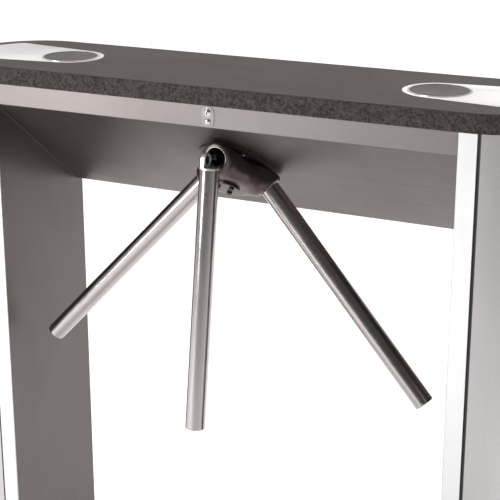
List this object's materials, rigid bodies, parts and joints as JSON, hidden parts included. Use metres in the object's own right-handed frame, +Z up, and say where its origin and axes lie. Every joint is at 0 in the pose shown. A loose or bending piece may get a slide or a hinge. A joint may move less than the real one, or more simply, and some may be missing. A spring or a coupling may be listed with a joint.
{
  "type": "tripod turnstile",
  "caption": "Waist-high turnstile with tubular arms on a tilted hub beneath a stone-topped steel cabinet, which admits and counts visitors.",
  "frame": {"origin": "on the floor at the centre of the four anchor holes, midway between the posts and midway front to back", "axes": "+X along the cabinet to the right-hand post, -Y towards the people passing, +Z up"},
  "size_m": [1.092, 0.3327, 1.0006],
  "materials": {
    "stone": "satin cast stone with fine speckle",
    "brushed_panel": "brushed stainless sheet",
    "post_steel": "brushed stainless sheet",
    "inlay_steel": "fine brushed stainless",
    "polished_tube": "polished stainless",
    "bright_trim": "bright",
    "dark_casting": "satin dark brown-grey",
    "shaded_steel": "brushed, darker than the panels",
    "satin_steel": "satin machined stainless",
    "reader_window": "smoked satin",
    "groove_rubber": "matte",
    "frame_steel": "zinc grey",
    "machined_steel": "machined",
    "cast_aluminium": "as cast",
    "black_plastic": "moulded",
    "circuit_board": "lacquered",
    "blackened_steel": "oil black"
  },
  "bodies": {
    "cabinet": {"top_plate": "stone", "inlay_right": "inlay_steel", "inlay_left": "inlay_steel", "reader_rings": "bright_trim", "reader_discs": "reader_window", "reader_modules": "black_plastic", "beam_cover": "brushed_panel", "rear_panel": "brushed_panel", "rear_panel_screws": "bright_trim", "top_rails": "frame_steel", "post_frame_right": "post_steel", "post_frame_left": "post_steel", "post_cover_right": "post_steel", "post_cover_left": "post_steel", "groove_strips": "groove_rubber", "post_columns": "frame_steel", "base_plate_right": "frame_steel", "base_plate_left": "frame_steel", "cable_gland": "black_plastic", "lock_escutcheon": "shaded_steel", "lock_body": "bright_trim", "indicator_dome": "bright_trim", "hub_collar": "dark_casting", "bearing_outer_rings": "machined_steel", "bearing_balls": "machined_steel", "bearing_housing": "cast_aluminium", "gearmotor": "black_plastic", "encoder_sensor": "black_plastic", "pawl_pins": "machined_steel", "solenoids": "blackened_steel", "mechanism_cheek_right": "frame_steel", "mechanism_cheek_left": "frame_steel", "mechanism_plate": "frame_steel", "mechanism_bolts": "machined_steel", "control_board": "circuit_board", "counter_module": "black_plastic", "power_supply": "cast_aluminium"},
    "hub": {"hub_body": "dark_casting", "hub_cap": "dark_casting", "hub_bolts": "blackened_steel", "main_shaft": "machined_steel", "bearing_inner_rings": "machined_steel", "shaft_gear": "machined_steel", "locking_disc": "machined_steel", "encoder_disc": "blackened_steel", "shaft_nut": "machined_steel", "right_arm_tube": "polished_tube", "left_arm_tube": "polished_tube", "side_arm_fittings": "satin_steel", "side_arm_caps": "polished_tube", "draw_bars_and_pins": "blackened_steel"},
    "top_arm": {"top_arm_fitting": "satin_steel", "top_arm_tube": "polished_tube", "top_arm_cap": "polished_tube"},
    "pinion": {"motor_pinion": "machined_steel"},
    "pawl_right": {"pawl_right": "machined_steel"},
    "pawl_left": {"pawl_left": "machined_steel"},
    "plunger_right": {"plunger_right": "machined_steel"},
    "plunger_left": {"plunger_left": "machined_steel"},
    "key_plug": {"lock_plug": "bright_trim"}
  },
  "joints": [
    {"name": "hub_spin", "type": "hinge", "parent": "cabinet", "child": "hub", "pos_m": [0, -0.03343, 0.85774], "axis": [0, -0.6247, -0.7809], "continuous": true},
    {"name": "top_arm_raise", "type": "hinge", "parent": "hub", "child": "top_arm", "pos_m": [0, -0.124, 0.87953], "axis": [-1, 0, 0], "range_deg": [0, 82]},
    {"name": "pinion_spin", "type": "hinge", "parent": "cabinet", "child": "pinion", "pos_m": [0.048, 0.01405, 0.91709], "axis": [0, -0.6247, -0.7809], "continuous": true},
    {"name": "pawl_right_swing", "type": "hinge", "parent": "cabinet", "child": "pawl_right", "pos_m": [0.066, 0.04747, 0.90444], "axis": [0, 0.6247, 0.7809], "range_deg": [0, 8], "stiffness_Nm_per_rad": 0.1, "springref_deg": -17.19},
    {"name": "pawl_left_swing", "type": "hinge", "parent": "cabinet", "child": "pawl_left", "pos_m": [-0.066, 0.04747, 0.90444], "axis": [0, -0.6247, -0.7809], "range_deg": [0, 8], "stiffness_Nm_per_rad": 0.1, "springref_deg": -17.19},
    {"name": "plunger_right_slide", "type": "slide", "parent": "cabinet", "child": "plunger_right", "axis": [0, 0.7809, -0.6247], "range_m": [0, 0.003]},
    {"name": "plunger_left_slide", "type": "slide", "parent": "cabinet", "child": "plunger_left", "axis": [0, 0.7809, -0.6247], "range_m": [0, 0.003]},
    {"name": "key_turn", "type": "hinge", "parent": "cabinet", "child": "key_plug", "pos_m": [0, -0.13, 0.96], "axis": [0, 1, 0], "range_deg": [0, 90]}
  ],
  "couplings": [
    {"joint": "pinion_spin", "follows": "hub_spin", "ratio": -3},
    {"joint": "plunger_right_slide", "follows": "pawl_right_swing", "m_per_rad": 0.02},
    {"joint": "plunger_left_slide", "follows": "pawl_left_swing", "m_per_rad": 0.02}
  ]
}
